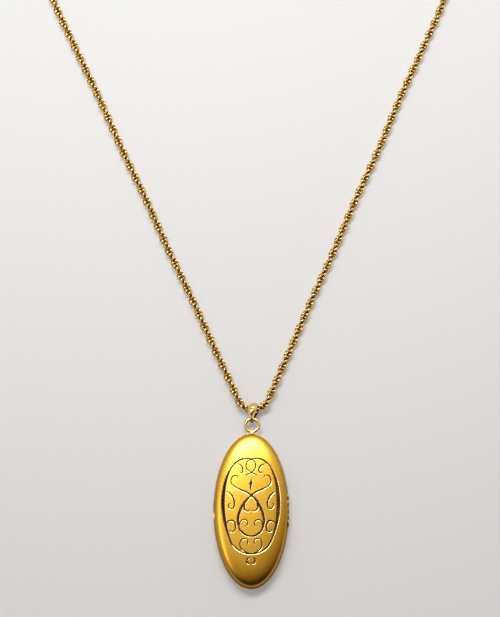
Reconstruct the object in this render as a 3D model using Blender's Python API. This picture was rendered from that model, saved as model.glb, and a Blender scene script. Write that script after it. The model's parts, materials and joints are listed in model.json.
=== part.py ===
"""Oval photo locket on a rope chain, lying on its back.

Frame: +Z up, +Y towards the suspension ring, +X to the right of someone looking at the face.
The origin is the middle of the flat oval panel on the back. Values are millimetres, turned
into metres where a mesh is made.
"""

import math

import bmesh
import bpy
from mathutils import Matrix, Vector

MM = 0.001

# The body: two oval shells that meet at a seam
BODY_A = 9.5  # half width, at the back's rim
BODY_B = 19.75  # half length, at the back's rim
OVAL_STEPS = 56
END_SPREAD = 0.9  # how much faster the shells draw in at their ends than at their sides
RIM_STEP = 0.25  # how far the back's rim stands out past both shells
WALL = 0.4
RIM_LOW = 2.02
RIM_TOP = 2.4
SEAM_GAP = 0.06
COVER_LOW = RIM_TOP + SEAM_GAP
FACE_TOP = 5.0

# Each profile is (inset from the rim's edge, height), from the middle of the shell outwards.
# Where the inset is the whole half width, the shell is closed by a flat panel instead.
FACE_OUTSIDE = (
    (8.6, FACE_TOP - 0.01),
    (6.8, FACE_TOP - 0.07),
    (5.0, FACE_TOP - 0.2),
    (3.4, FACE_TOP - 0.41),
    (2.2, FACE_TOP - 0.66),
    (1.3, FACE_TOP - 0.95),
    (0.7, FACE_TOP - 1.27),
    (0.36, FACE_TOP - 1.66),
    (RIM_STEP, FACE_TOP - 2.1),
    (RIM_STEP, COVER_LOW),
)
FACE_INSIDE = (
    (RIM_STEP + WALL, COVER_LOW),
    (RIM_STEP + WALL, FACE_TOP - 2.1),
    (0.72, FACE_TOP - 1.84),
    (0.95, FACE_TOP - 1.58),
    (1.46, FACE_TOP - 1.32),
    (2.3, FACE_TOP - 1.05),
    (3.5, FACE_TOP - 0.8),
    (5.0, FACE_TOP - 0.6),
    (6.8, FACE_TOP - 0.47),
    (8.6, FACE_TOP - 0.41),
)
BACK_OUTSIDE = (
    (3.3, 0.0),
    (2.5, 0.09),
    (1.6, 0.33),
    (0.9, 0.74),
    (0.42, 1.3),
    (RIM_STEP, RIM_LOW),
    (0.04, RIM_LOW),
    (0.0, RIM_LOW + 0.05),
    (0.0, RIM_TOP - 0.05),
    (0.04, RIM_TOP),
)
BACK_INSIDE = (
    (RIM_STEP + WALL, RIM_TOP),
    (RIM_STEP + WALL, 1.75),
    (0.85, 1.4),
    (1.3, 0.98),
    (1.95, 0.66),
    (2.7, 0.47),
    (3.4, 0.4),
)
NICK_LENGTH = 3.2
NICK_HEIGHT = 0.16

# The raised rim inside the back that the cover snaps over
SNAP_INSET = RIM_STEP + WALL + 0.06
SNAP_WALL = 0.28
SNAP_LOW = 1.82
SNAP_TOP = 2.86

# Photograph frames, windows and cards: one set in each half
FRAME_OPENING = 2.35  # inset of the frame's opening
FRAME_LIP = 0.2
BACK_FRAME_OUT = 1.1
BACK_FRAME_SKIRT = 0.25
BACK_FRAME_LOW = 1.3
BACK_FRAME_TOP = 2.2
COVER_FRAME_OUT = 1.08
COVER_FRAME_LOW = 2.92
COVER_FRAME_TOP = 3.4
SHEET_INSET = 1.5
WINDOW_THICK = 0.22
CARD_THICK = 0.16
SHEET_GAP = 0.06

# Hinge on the right side, let into both rims
HINGE_X = 9.3
HINGE_Z = RIM_TOP + SEAM_GAP / 2
KNUCKLE_R = 0.25
KNUCKLE_BORE_R = 0.15
KNUCKLE_GAP = 0.08
KNUCKLE_COUNT = 5
HINGE_LENGTH = 8.3
PIN_R = 0.11
RECESS_R = KNUCKLE_R + 0.11

# Suspension ring, soldered to the back's rim
RING_X = 0.25
RING_Z = 2.0
RING_R = 1.675
RING_WIRE_R = 0.375
RING_Y = 21.9
SOLDER_SIZE = (0.95, 0.62, 0.6)

# Bail: one band that loops round the chain and through the ring
CHAIN_R = 1.0
BAIL_PIVOT = (0.55, 25.95, 1.85)
EYE_PIVOT = (RING_X, RING_Y + RING_R, RING_Z)
BAIL_WALL = 0.42
BAIL_TOP_BORE = 1.45
BAIL_EYE_BORE = 0.6
BAIL_HALF_TOP = 0.95
BAIL_HALF_WIDE = 1.18
BAIL_HALF_EYE = 0.62
BAIL_FULL_TO = 0.25  # the band keeps its full width to here, from 0 at the chain
BAIL_SLIM_AT = 1.1  # and is narrowest from here, past 1 at the ring
BAIL_YAW = math.radians(8)

# Clasp: a spring ring between the chain's two ends, on a line along X
CLASP_X = 0.0
CLASP_Y = 206.0
CLASP_Z = 1.3
CLASP_R = 2.5
CLASP_TUBE_R = 0.5
CLASP_BORE_R = 0.32
CLASP_OPEN_FROM = 25.0  # degrees round the clasp, from +X
CLASP_OPEN_TO = 75.0
CLASP_BORE_TO = 220.0
GATE_R = 0.24
GATE_FROM = 21.0
GATE_TO = 128.0
GATE_TRAVEL = 50.0
KNOB_AT = 92.0
KNOB_HALF = 0.15
SPRING_TO = 216.0
SPRING_R = 0.2
SPRING_WIRE_R = 0.05
SPRING_TURNS = 11
LOOP_R = 0.75
LOOP_WIRE_R = 0.25
JUMP_R = 1.0
JUMP_WIRE_R = 0.27
TAG_R = 1.3
TAG_WIRE_R = 0.25
TAG_X = 2.9
TAG_Z = 1.56
CAP_R = 1.15
CAP_LENGTH = 3.0
CAP_LOOP_IN = 0.1  # how far a cap's loop is sunk into it
END_GAP = 0.3  # between a cap and the end of the chain

EYE_X = CLASP_X - CLASP_R - CLASP_TUBE_R - LOOP_R - LOOP_WIRE_R + 0.1
JUMP_X = EYE_X - JUMP_R
LEFT_LOOP_X = JUMP_X - JUMP_R
RIGHT_LOOP_X = CLASP_X + TAG_X + math.sqrt(TAG_R**2 - (TAG_Z - CLASP_Z) ** 2)
LEFT_CAP_X = LEFT_LOOP_X - LOOP_R - LOOP_WIRE_R + CAP_LOOP_IN
RIGHT_CAP_X = RIGHT_LOOP_X + LOOP_R + LOOP_WIRE_R - CAP_LOOP_IN
LEFT_END_X = LEFT_CAP_X - CAP_LENGTH - END_GAP
RIGHT_END_X = RIGHT_CAP_X + CAP_LENGTH + END_GAP

FLOOR_Z = CHAIN_R + 0.04  # the centreline's height where the chain lies on the ground

# The chain's centreline, from its left end at the clasp, through the bail, to its right end
CHAIN_ROUTE = (
    (LEFT_END_X, CLASP_Y, CLASP_Z),
    (-14.4, 205.8, 1.2),
    (-22.4, 204.0, FLOOR_Z),
    (-33.4, 198.4, FLOOR_Z),
    (-44.0, 189.0, FLOOR_Z),
    (-52.0, 176.2, FLOOR_Z),
    (-56.2, 161.6, FLOOR_Z),
    (-56.0, 148.6, FLOOR_Z),
    (-53.2, 138.9, FLOOR_Z),
    (-46.7, 124.5, FLOOR_Z),
    (-40.1, 110.3, FLOOR_Z),
    (-33.95, 96.2, FLOOR_Z),
    (-27.5, 82.4, FLOOR_Z),
    (-21.5, 68.7, FLOOR_Z),
    (-15.15, 55.2, FLOOR_Z),
    (-9.3, 42.0, FLOOR_Z),
    (-5.6, 34.0, 1.2),
    (-3.1, 28.3, 1.66),
    (-2.27, 27.1, 1.75),
    (-1.0, 26.25, 1.83),
    BAIL_PIVOT,
    (2.1, 26.25, 1.83),
    (3.37, 27.1, 1.75),
    (4.2, 28.3, 1.66),
    (6.65, 34.0, 1.2),
    (10.1, 42.0, FLOOR_Z),
    (15.7, 55.2, FLOOR_Z),
    (21.7, 68.7, FLOOR_Z),
    (27.4, 82.4, FLOOR_Z),
    (33.6, 96.2, FLOOR_Z),
    (39.4, 110.3, FLOOR_Z),
    (45.75, 124.5, FLOOR_Z),
    (51.9, 138.9, FLOOR_Z),
    (54.4, 148.8, FLOOR_Z),
    (54.6, 161.8, FLOOR_Z),
    (50.6, 176.4, FLOOR_Z),
    (42.8, 188.8, FLOOR_Z),
    (32.4, 198.0, FLOOR_Z),
    (21.4, 203.8, FLOOR_Z),
    (RIGHT_END_X, CLASP_Y, CLASP_Z),
)
CHAIN_STEP = 6.3
BEND_STEP = 1.5
BEND_REACH = 6.0  # how far from the bail the chain gets the finer step


def clear_scene():
    for obj in list(bpy.data.objects):
        bpy.data.objects.remove(obj, do_unlink=True)


def material(name, colour, roughness, metallic=1.0):
    made = bpy.data.materials.new(name)
    made.use_nodes = True
    shader = made.node_tree.nodes["Principled BSDF"]
    shader.inputs["Base Color"].default_value = (*colour, 1.0)
    shader.inputs["Roughness"].default_value = roughness
    shader.inputs["Metallic"].default_value = metallic
    return made


def link(name, data, look):
    obj = bpy.data.objects.new(name, data)
    obj.data.materials.append(look)
    bpy.context.scene.collection.objects.link(obj)
    return obj


def mesh_object(name, points, faces, look):
    """A mesh object from points in millimetres, faces out, shaded smooth."""
    mesh = bpy.data.meshes.new(name)
    mesh.from_pydata([Vector(p) * MM for p in points], [], faces)
    shell = bmesh.new()
    shell.from_mesh(mesh)
    bmesh.ops.recalc_face_normals(shell, faces=shell.faces)
    shell.to_mesh(mesh)
    shell.free()
    mesh.shade_smooth()
    mesh.set_sharp_from_angle(angle=math.radians(40))
    return link(name, mesh, look)


def loft(rings, around=False, capped=True):
    """Points and faces of a surface through rings of equally many points."""
    count = len(rings[0])
    points = [p for ring in rings for p in ring]
    faces = []
    last = len(rings) if around else len(rings) - 1
    for i in range(last):
        low = i * count
        high = (i + 1) % len(rings) * count
        for j in range(count):
            k = (j + 1) % count
            faces.append((low + j, low + k, high + k, high + j))
    if capped and not around:
        faces.append(tuple(range(count)))
        faces.append(tuple(range((len(rings) - 1) * count, len(rings) * count)))
    return points, faces


def oval(inset, height):
    """One ring of the body's oval, drawn in from the rim's edge."""
    turns = (math.tau * i / OVAL_STEPS for i in range(OVAL_STEPS))
    a = BODY_A - inset
    b = BODY_B - inset * (1 + END_SPREAD * inset / BODY_A)
    return [(a * math.cos(t), b * math.sin(t), height) for t in turns]


def oval_shell(name, profile, look):
    """A dish or a plate: the profile runs from one middle round the edge to the other."""
    points, faces = loft([oval(*step) for step in profile])
    return mesh_object(name, points, faces, look)


def oval_band(name, profile, look):
    """A closed band: the profile is a loop, carried round the oval."""
    points, faces = loft([oval(*step) for step in profile], around=True)
    return mesh_object(name, points, faces, look)


def circle(centre, radius, across, up, sides):
    """Points round a circle in the plane of two unit vectors."""
    turns = (math.tau * i / sides for i in range(sides))
    return [
        tuple(centre + radius * (math.cos(t) * across + math.sin(t) * up)) for t in turns
    ]


def torus(name, centre, radius, wire, plane, look, steps=24, sides=8):
    """A closed wire ring in the plane of two unit vectors."""
    right, up = (Vector(v) for v in plane)
    normal = right.cross(up)
    rings = []
    for i in range(steps):
        turn = math.tau * i / steps
        out = math.cos(turn) * right + math.sin(turn) * up
        rings.append(circle(Vector(centre) + radius * out, wire, out, normal, sides))
    points, faces = loft(rings, around=True)
    return mesh_object(name, points, faces, look)


def arc_rod(name, radius, start, end, look, steps, sides=10):
    """A round rod bent along the clasp's own circle, between two angles in degrees."""
    centre = Vector((CLASP_X, CLASP_Y, CLASP_Z))
    up = Vector((0, 0, 1))
    rings = []
    for i in range(steps + 1):
        turn = math.radians(start + (end - start) * i / steps)
        out = Vector((math.cos(turn), math.sin(turn), 0))
        rings.append(circle(centre + CLASP_R * out, radius, out, up, sides))
    points, faces = loft(rings)
    return mesh_object(name, points, faces, look)


def rod(name, start, end, radius, look, bore=0.0, sides=14):
    """A straight round rod, or a tube if it has a bore."""
    start, end = Vector(start), Vector(end)
    along = (end - start).normalized()
    across = along.orthogonal().normalized()
    up = along.cross(across)
    rings = [circle(p, radius, across, up, sides) for p in (start, end)]
    if bore:
        rings += [circle(p, bore, across, up, sides) for p in (end, start)]
    points, faces = loft(rings, around=bool(bore))
    return mesh_object(name, points, faces, look)


def combine(obj, tool, operation):
    """Cut obj with tool, or join tool to it, and leave the tool behind as a guide."""
    boolean = obj.modifiers.new(tool.name, "BOOLEAN")
    boolean.operation = operation
    boolean.solver = "EXACT"
    boolean.object = tool
    tool.hide_render = True
    tool.display_type = "WIRE"


def pivot(name, place, parent=None):
    """An empty on a joint's axis, which the joint's pieces are parented to."""
    empty = bpy.data.objects.new(name, None)
    bpy.context.scene.collection.objects.link(empty)
    above = Vector(parent["place"]) if parent else Vector((0, 0, 0))
    empty["place"] = place
    empty.parent = parent
    empty.location = (Vector(place) - above) * MM
    return empty


def hang(empty, *pieces):
    """Put the pieces' origins on the empty's joint axis, and parent them to it."""
    for piece in pieces:
        piece.data.transform(Matrix.Translation(-Vector(empty["place"]) * MM))
        piece.parent = empty


def make_shells(gold, inside_gold):
    cover = oval_shell("front_cover", FACE_OUTSIDE + FACE_INSIDE, gold)
    back = oval_shell("back_cover", BACK_OUTSIDE + BACK_INSIDE, gold)
    snap_rim = oval_band(
        "snap_rim",
        (
            (SNAP_INSET, SNAP_LOW),
            (SNAP_INSET, SNAP_TOP - 0.12),
            (SNAP_INSET + 0.1, SNAP_TOP),
            (SNAP_INSET + SNAP_WALL, SNAP_TOP),
            (SNAP_INSET + SNAP_WALL, SNAP_LOW),
        ),
        inside_gold,
    )
    reach = HINGE_LENGTH / 2 + KNUCKLE_GAP
    recess = rod(
        "hinge_recess_cutter",
        (HINGE_X, -reach, HINGE_Z),
        (HINGE_X, reach, HINGE_Z),
        RECESS_R,
        gold,
        sides=20,
    )
    nick = rod(
        "nail_nick_cutter",
        (-BODY_A - 1, 0, RIM_TOP),
        (RIM_STEP - BODY_A, 0, RIM_TOP),
        NICK_LENGTH / 2,
        gold,
        sides=24,
    )
    nick.data.transform(
        Matrix.Translation((0, 0, RIM_TOP * MM))
        @ Matrix.Diagonal((1, 1, 2 * NICK_HEIGHT / NICK_LENGTH, 1))
        @ Matrix.Translation((0, 0, -RIM_TOP * MM))
    )
    combine(cover, recess, "DIFFERENCE")
    combine(back, recess, "DIFFERENCE")
    combine(back, nick, "DIFFERENCE")
    return cover, back, snap_rim, recess, nick


def make_back_inserts(gold, clear, paper):
    skirt = BACK_FRAME_OUT + BACK_FRAME_SKIRT
    lip_low = BACK_FRAME_TOP - FRAME_LIP
    frame = oval_band(
        "back_photo_frame",
        (
            (BACK_FRAME_OUT, BACK_FRAME_LOW),
            (BACK_FRAME_OUT, BACK_FRAME_TOP - 0.08),
            (BACK_FRAME_OUT + 0.1, BACK_FRAME_TOP),
            (FRAME_OPENING - 0.1, BACK_FRAME_TOP),
            (FRAME_OPENING, lip_low),
            (skirt, lip_low),
            (skirt, BACK_FRAME_LOW),
        ),
        gold,
    )
    window_top = lip_low - SHEET_GAP
    card_top = window_top - WINDOW_THICK - SHEET_GAP
    window = oval_shell(
        "back_window",
        ((SHEET_INSET, window_top), (SHEET_INSET, window_top - WINDOW_THICK)),
        clear,
    )
    card = oval_shell(
        "back_photo_card",
        ((SHEET_INSET, card_top), (SHEET_INSET, card_top - CARD_THICK)),
        paper,
    )
    return frame, window, card


def make_cover_inserts(gold, clear, paper):
    skirt = COVER_FRAME_OUT + BACK_FRAME_SKIRT
    lip_top = COVER_FRAME_LOW + FRAME_LIP
    frame = oval_band(
        "front_photo_frame",
        (
            (COVER_FRAME_OUT, COVER_FRAME_TOP),
            (COVER_FRAME_OUT, COVER_FRAME_LOW + 0.08),
            (COVER_FRAME_OUT + 0.1, COVER_FRAME_LOW),
            (FRAME_OPENING - 0.1, COVER_FRAME_LOW),
            (FRAME_OPENING, lip_top),
            (skirt, lip_top),
            (skirt, COVER_FRAME_TOP),
        ),
        gold,
    )
    window_low = lip_top + SHEET_GAP
    card_low = window_low + WINDOW_THICK + SHEET_GAP
    window = oval_shell(
        "front_window",
        ((SHEET_INSET, window_low + WINDOW_THICK), (SHEET_INSET, window_low)),
        clear,
    )
    card = oval_shell(
        "front_photo_card",
        ((SHEET_INSET, card_low + CARD_THICK), (SHEET_INSET, card_low)),
        paper,
    )
    return frame, window, card


def make_hinge(gold, pin_gold):
    """Five knuckles, in turn the back's and the cover's, and the pin through them."""
    share = HINGE_LENGTH / KNUCKLE_COUNT
    knuckles = []
    for i in range(KNUCKLE_COUNT):
        low = -HINGE_LENGTH / 2 + i * share + KNUCKLE_GAP / 2
        owner = "cover" if i % 2 else "back"
        knuckles.append(
            rod(
                f"hinge_knuckle_{i + 1}_{owner}",
                (HINGE_X, low, HINGE_Z),
                (HINGE_X, low + share - KNUCKLE_GAP, HINGE_Z),
                KNUCKLE_R,
                gold,
                bore=KNUCKLE_BORE_R,
            )
        )
    reach = HINGE_LENGTH / 2
    pin = rod(
        "hinge_pin", (HINGE_X, -reach, HINGE_Z), (HINGE_X, reach, HINGE_Z), PIN_R, pin_gold
    )
    return knuckles, pin


def make_ring(gold, solder_gold):
    plane = ((1, 0, 0), (0, 1, 0))
    centre = (RING_X, RING_Y, RING_Z)
    ring = torus("suspension_ring", centre, RING_R, RING_WIRE_R, plane, gold, steps=28)
    seat = bpy.data.meshes.new("ring_solder_seat")
    blob = bmesh.new()
    bmesh.ops.create_uvsphere(blob, u_segments=16, v_segments=9, radius=1)
    size = Matrix.Diagonal((*SOLDER_SIZE, 1 / MM)) * MM
    place = Vector((RING_X, BODY_B + 0.1, RING_Z - 0.12)) * MM
    bmesh.ops.transform(blob, matrix=Matrix.Translation(place) @ size, verts=blob.verts)
    blob.to_mesh(seat)
    blob.free()
    seat.shade_smooth()
    seat = link("ring_solder_seat", seat, solder_gold)
    clearance = 0.05
    groove = torus(
        "ring_groove_cutter",
        centre,
        RING_R,
        RING_WIRE_R + clearance,
        plane,
        gold,
        steps=28,
    )
    outside = [(inset - clearance, z) for inset, z in BACK_OUTSIDE]
    outside.append((RIM_STEP - clearance, COVER_LOW))
    outside.append((RIM_STEP - clearance, FACE_TOP))
    body = oval_shell("body_cutter", outside, gold)
    combine(seat, groove, "DIFFERENCE")
    combine(seat, body, "DIFFERENCE")
    return ring, seat, groove, body


def bail_half_width(share):
    """Half the band's width, from 0 at the chain to 1 at the ring, and below 0 over the top."""
    if share < 0:
        drop = min(1.0, share / -0.77) ** 2
        return BAIL_HALF_WIDE + (BAIL_HALF_TOP - BAIL_HALF_WIDE) * drop
    ease = min(1.0, max(0.0, (share - BAIL_FULL_TO) / (BAIL_SLIM_AT - BAIL_FULL_TO)))
    ease = ease * ease * (3 - 2 * ease)
    return BAIL_HALF_WIDE + (BAIL_HALF_EYE - BAIL_HALF_WIDE) * ease


def make_bail(gold):
    """A band round two circles in the YZ plane, one about the chain and one about the ring."""
    top = Vector(BAIL_PIVOT)
    eye = Vector(EYE_PIVOT)
    down = Vector((0, eye.y - top.y, eye.z - top.z))
    apart = down.length
    down.normalize()
    out = Vector((0, -down.z, down.y)) * -1
    top_r = BAIL_TOP_BORE + BAIL_WALL / 2
    eye_r = BAIL_EYE_BORE + BAIL_WALL / 2
    lean = math.asin((top_r - eye_r) / apart)
    wrap = math.pi / 2 + lean
    path = []
    for i in range(15):
        turn = -wrap + 2 * wrap * i / 14
        normal = -down * math.cos(turn) + out * math.sin(turn)
        path.append((top + top_r * normal, normal))
    for i in (1, 2):
        middle = (top + top_r * normal).lerp(eye + eye_r * normal, i / 3)
        path.append((middle, normal))
    for i in range(9):
        turn = (math.pi - wrap) * (1 - i / 4)
        normal = down * math.cos(turn) + out * math.sin(turn)
        path.append((eye + eye_r * normal, normal))
    for i in (1, 2):
        middle = (eye + eye_r * normal).lerp(top + top_r * normal, i / 3)
        path.append((middle, normal))
    rings = []
    for place, normal in path:
        share = (place - top).dot(down) / apart
        half = bail_half_width(share)
        section = (
            (-half, -BAIL_WALL / 2),
            (half, -BAIL_WALL / 2),
            (half, 0.0),
            (0.62 * half, BAIL_WALL / 2),
            (-0.62 * half, BAIL_WALL / 2),
            (-half, 0.0),
        )
        middle_x = top.x + (eye.x - top.x) * share
        ring = []
        for across, lift in section:
            p = place + normal * lift
            x = middle_x + across - math.tan(BAIL_YAW) * (p.z - top.z)
            ring.append((x, p.y, p.z))
        rings.append(ring)
    points, faces = loft(rings, around=True)
    return mesh_object("bail", points, faces, gold)


def smooth_route(route):
    """Points along a Catmull-Rom curve through the route, closer together at the bail."""
    knots = [Vector(p) for p in route]
    knots = [2 * knots[0] - knots[1], *knots, 2 * knots[-1] - knots[-2]]
    fine = []
    for a, b, c, d in zip(knots, knots[1:], knots[2:], knots[3:]):
        ab, bc, cd = ((q - p).length ** 0.5 for p, q in ((a, b), (b, c), (c, d)))
        leave = bc * ((b - a) / ab - (c - a) / (ab + bc)) + (c - b)
        arrive = bc * ((d - c) / cd - (d - b) / (bc + cd)) + (c - b)
        for i in range(40):
            t = i / 40
            fine.append(
                (2 * t**3 - 3 * t**2 + 1) * b
                + (t**3 - 2 * t**2 + t) * leave
                + (3 * t**2 - 2 * t**3) * c
                + (t**3 - t**2) * arrive
            )
    fine.append(knots[-2])
    kept = [fine[0]]
    walked = 0.0
    for before, point in zip(fine, fine[1:]):
        walked += (point - before).length
        near = (point - Vector(BAIL_PIVOT)).length < BEND_REACH
        if walked >= (BEND_STEP if near else CHAIN_STEP):
            kept.append(point)
            walked = 0.0
    if walked < CHAIN_STEP / 3:
        kept.pop()
    kept.append(fine[-1])
    return kept


def make_chain(gold):
    curve = bpy.data.curves.new("rope_chain", "CURVE")
    curve.dimensions = "3D"
    curve.bevel_depth = CHAIN_R * MM
    curve.bevel_resolution = 2
    curve.render_resolution_u = 0
    curve.use_fill_caps = True
    points = smooth_route(CHAIN_ROUTE)
    spline = curve.splines.new("POLY")
    spline.points.add(len(points) - 1)
    for at, point in zip(spline.points, points):
        at.co = (*(point * MM), 1.0)
    return link("rope_chain", curve, gold)


def make_end_cap(name, cap_x, loop_x, gold):
    """A turned cap on the chain's end, closed on the clasp's side, with a loop joined to it."""
    towards = 1 if loop_x > cap_x else -1
    outline = (
        (0.0, 0.5 * CAP_R),
        (0.25, 0.8 * CAP_R),
        (0.7, 0.93 * CAP_R),
        (CAP_LENGTH - 0.7, 0.93 * CAP_R),
        (CAP_LENGTH - 0.6, CAP_R),
        (CAP_LENGTH, CAP_R),
    )
    across = Vector((0, 1, 0))
    up = Vector((0, 0, 1))
    rings = [
        circle(Vector((cap_x - towards * along, CLASP_Y, CLASP_Z)), r, across, up, 14)
        for along, r in outline
    ]
    points, faces = loft(rings)
    cap = mesh_object(name, points, faces, gold)
    loop = torus(
        f"{name}_loop_guide",
        (loop_x, CLASP_Y, CLASP_Z),
        LOOP_R,
        LOOP_WIRE_R,
        ((1, 0, 0), (0, 1, 0)),
        gold,
        steps=18,
    )
    combine(cap, loop, "UNION")
    return cap, loop


def make_clasp(gold, steel):
    centre = Vector((CLASP_X, CLASP_Y, CLASP_Z))
    body = arc_rod(
        "clasp_body", CLASP_TUBE_R, CLASP_OPEN_TO, 360 + CLASP_OPEN_FROM, gold, 34
    )
    eye = torus(
        "clasp_eye_guide",
        (EYE_X, CLASP_Y, CLASP_Z),
        LOOP_R,
        LOOP_WIRE_R,
        ((1, 0, 0), (0, 1, 0)),
        gold,
        steps=18,
    )
    bore = arc_rod(
        "clasp_bore_cutter", CLASP_BORE_R, CLASP_OPEN_TO - 5, CLASP_BORE_TO, gold, 20, 10
    )
    tip_bore = arc_rod(
        "clasp_tip_cutter", CLASP_BORE_R, GATE_FROM - 3, CLASP_OPEN_FROM + 6, gold, 3, 10
    )
    knob_angle = math.degrees(KNOB_HALF / CLASP_R)
    slot_from = KNOB_AT - knob_angle - 2
    slot_to = KNOB_AT + GATE_TRAVEL + knob_angle + 2
    rings = []
    steps = 12
    for i in range(steps + 1):
        turn = math.radians(slot_from + (slot_to - slot_from) * i / steps)
        out = Vector((math.cos(turn), math.sin(turn), 0))
        half = Vector((0, 0, KNOB_HALF + 0.05))
        near = centre + (CLASP_R + 0.05) * out
        far = centre + (CLASP_R + 1.0) * out
        rings.append([tuple(p) for p in (near - half, far - half, far + half, near + half)])
    slot = mesh_object("clasp_slot_cutter", *loft(rings), gold)
    combine(body, eye, "UNION")
    for tool in (bore, tip_bore, slot):
        combine(body, tool, "DIFFERENCE")
    gate = arc_rod("clasp_gate", GATE_R, GATE_FROM, GATE_TO, gold, 16)
    turn = math.radians(KNOB_AT)
    out = Vector((math.cos(turn), math.sin(turn), 0))
    knob = rod(
        "gate_knob_guide",
        centre + (CLASP_R + 0.02) * out,
        centre + (CLASP_R + 1.05) * out,
        KNOB_HALF,
        gold,
        sides=10,
    )
    combine(gate, knob, "UNION")
    points = []
    count = 9 * SPRING_TURNS
    for i in range(count + 1):
        turn = math.radians(GATE_TO + 1 + (SPRING_TO - GATE_TO - 1) * i / count)
        out = Vector((math.cos(turn), math.sin(turn), 0))
        coil = math.tau * SPRING_TURNS * i / count
        offset = math.cos(coil) * out + math.sin(coil) * Vector((0, 0, 1))
        points.append(centre + CLASP_R * out + SPRING_R * offset)
    curve = bpy.data.curves.new("clasp_spring", "CURVE")
    curve.dimensions = "3D"
    curve.bevel_depth = SPRING_WIRE_R * MM
    curve.bevel_resolution = 0
    curve.render_resolution_u = 0
    curve.use_fill_caps = True
    spline = curve.splines.new("POLY")
    spline.points.add(len(points) - 1)
    for at, point in zip(spline.points, points):
        at.co = (*(point * MM), 1.0)
    spring = link("clasp_spring", curve, steel)
    return body, gate, knob, spring


def make_links(gold):
    upright = ((1, 0, 0), (0, 0, 1))
    jump = torus(
        "jump_ring", (JUMP_X, CLASP_Y, CLASP_Z), JUMP_R, JUMP_WIRE_R, upright, gold, steps=20
    )
    tag = torus(
        "tag_ring",
        (CLASP_X + TAG_X, CLASP_Y, TAG_Z),
        TAG_R,
        TAG_WIRE_R,
        upright,
        gold,
        steps=24,
    )
    return jump, tag


def main():
    clear_scene()
    satin_gold = material("satin_gold", (0.84, 0.56, 0.16), 0.34)
    inner_gold = material("inner_gold", (0.86, 0.6, 0.22), 0.22)
    bright_gold = material("bright_gold", (0.87, 0.6, 0.24), 0.12)
    pin_gold = material("pin_gold", (0.75, 0.52, 0.24), 0.3)
    solder_gold = material("solder_gold", (0.85, 0.55, 0.36), 0.3)
    chain_gold = material("chain_gold", (0.78, 0.57, 0.22), 0.2)
    spring_steel = material("spring_steel", (0.6, 0.6, 0.6), 0.3)
    clear_sheet = material("clear_sheet", (0.95, 0.94, 0.88), 0.08, metallic=0.0)
    photo_paper = material("photo_paper", (0.8, 0.74, 0.6), 0.7, metallic=0.0)

    make_chain(chain_gold)
    make_end_cap("end_cap_left", LEFT_CAP_X, LEFT_LOOP_X, bright_gold)
    make_end_cap("end_cap_right", RIGHT_CAP_X, RIGHT_LOOP_X, bright_gold)
    make_links(bright_gold)

    gate_pivot = pivot("gate_pivot", (CLASP_X, CLASP_Y, CLASP_Z))
    _, gate, knob, _ = make_clasp(bright_gold, spring_steel)
    hang(gate_pivot, gate, knob)

    bail_pivot = pivot("bail_pivot", BAIL_PIVOT)
    locket_pivot = pivot("locket_pivot", EYE_PIVOT, bail_pivot)
    cover_pivot = pivot("cover_pivot", (HINGE_X, 0, HINGE_Z), locket_pivot)

    hang(bail_pivot, make_bail(bright_gold))

    cover, back, snap_rim, recess, nick = make_shells(satin_gold, inner_gold)
    knuckles, pin = make_hinge(satin_gold, pin_gold)
    hang(locket_pivot, back, snap_rim, recess, nick, pin)
    hang(locket_pivot, *knuckles[0::2])
    hang(locket_pivot, *make_ring(bright_gold, solder_gold))
    hang(locket_pivot, *make_back_inserts(inner_gold, clear_sheet, photo_paper))
    hang(cover_pivot, cover, *knuckles[1::2])
    hang(cover_pivot, *make_cover_inserts(inner_gold, clear_sheet, photo_paper))


main()
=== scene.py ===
"""The looks of the oval locket on its rope chain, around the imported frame."""

import json
import math

import bmesh
import bpy
import numpy as np
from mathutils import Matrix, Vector
from mathutils.geometry import delaunay_2d_cdt
from mathutils.kdtree import KDTree

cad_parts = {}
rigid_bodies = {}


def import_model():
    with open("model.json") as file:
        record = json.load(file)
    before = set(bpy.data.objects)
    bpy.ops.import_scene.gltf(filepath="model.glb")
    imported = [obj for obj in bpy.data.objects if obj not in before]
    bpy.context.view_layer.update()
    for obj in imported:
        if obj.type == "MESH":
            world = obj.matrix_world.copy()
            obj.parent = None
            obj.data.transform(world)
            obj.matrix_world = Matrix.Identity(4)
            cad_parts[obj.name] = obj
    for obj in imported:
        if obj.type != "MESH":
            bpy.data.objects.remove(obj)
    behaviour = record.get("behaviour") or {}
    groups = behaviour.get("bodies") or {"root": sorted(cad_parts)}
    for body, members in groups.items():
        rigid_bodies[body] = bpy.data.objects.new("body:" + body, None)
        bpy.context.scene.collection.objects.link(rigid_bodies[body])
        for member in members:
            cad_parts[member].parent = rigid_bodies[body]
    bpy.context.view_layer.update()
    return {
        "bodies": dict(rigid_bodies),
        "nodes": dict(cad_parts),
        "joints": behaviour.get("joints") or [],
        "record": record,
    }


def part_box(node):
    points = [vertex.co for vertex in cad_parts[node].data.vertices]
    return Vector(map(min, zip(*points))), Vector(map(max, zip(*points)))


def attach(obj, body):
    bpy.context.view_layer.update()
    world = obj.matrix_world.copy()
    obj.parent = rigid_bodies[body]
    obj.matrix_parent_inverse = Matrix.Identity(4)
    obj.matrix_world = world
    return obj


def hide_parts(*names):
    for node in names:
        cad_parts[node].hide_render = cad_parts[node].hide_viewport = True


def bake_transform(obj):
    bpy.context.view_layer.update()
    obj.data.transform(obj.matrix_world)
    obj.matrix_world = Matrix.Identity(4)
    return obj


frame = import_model()
NODES = frame["nodes"]
MM = 0.001

# ---------------------------------------------------------------- places, from the frame
BACK_LOW, BACK_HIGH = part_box("back_cover")
COVER_LOW, COVER_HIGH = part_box("front_cover")
BODY_A = BACK_HIGH.x / MM  # half width at the back's rim
BODY_B = BACK_HIGH.y / MM  # half length
RIM_TOP = BACK_HIGH.z / MM
COVER_SEAM = COVER_LOW.z / MM
END_SPREAD = 0.9  # how much faster the shells draw in at their ends than at their sides

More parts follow.
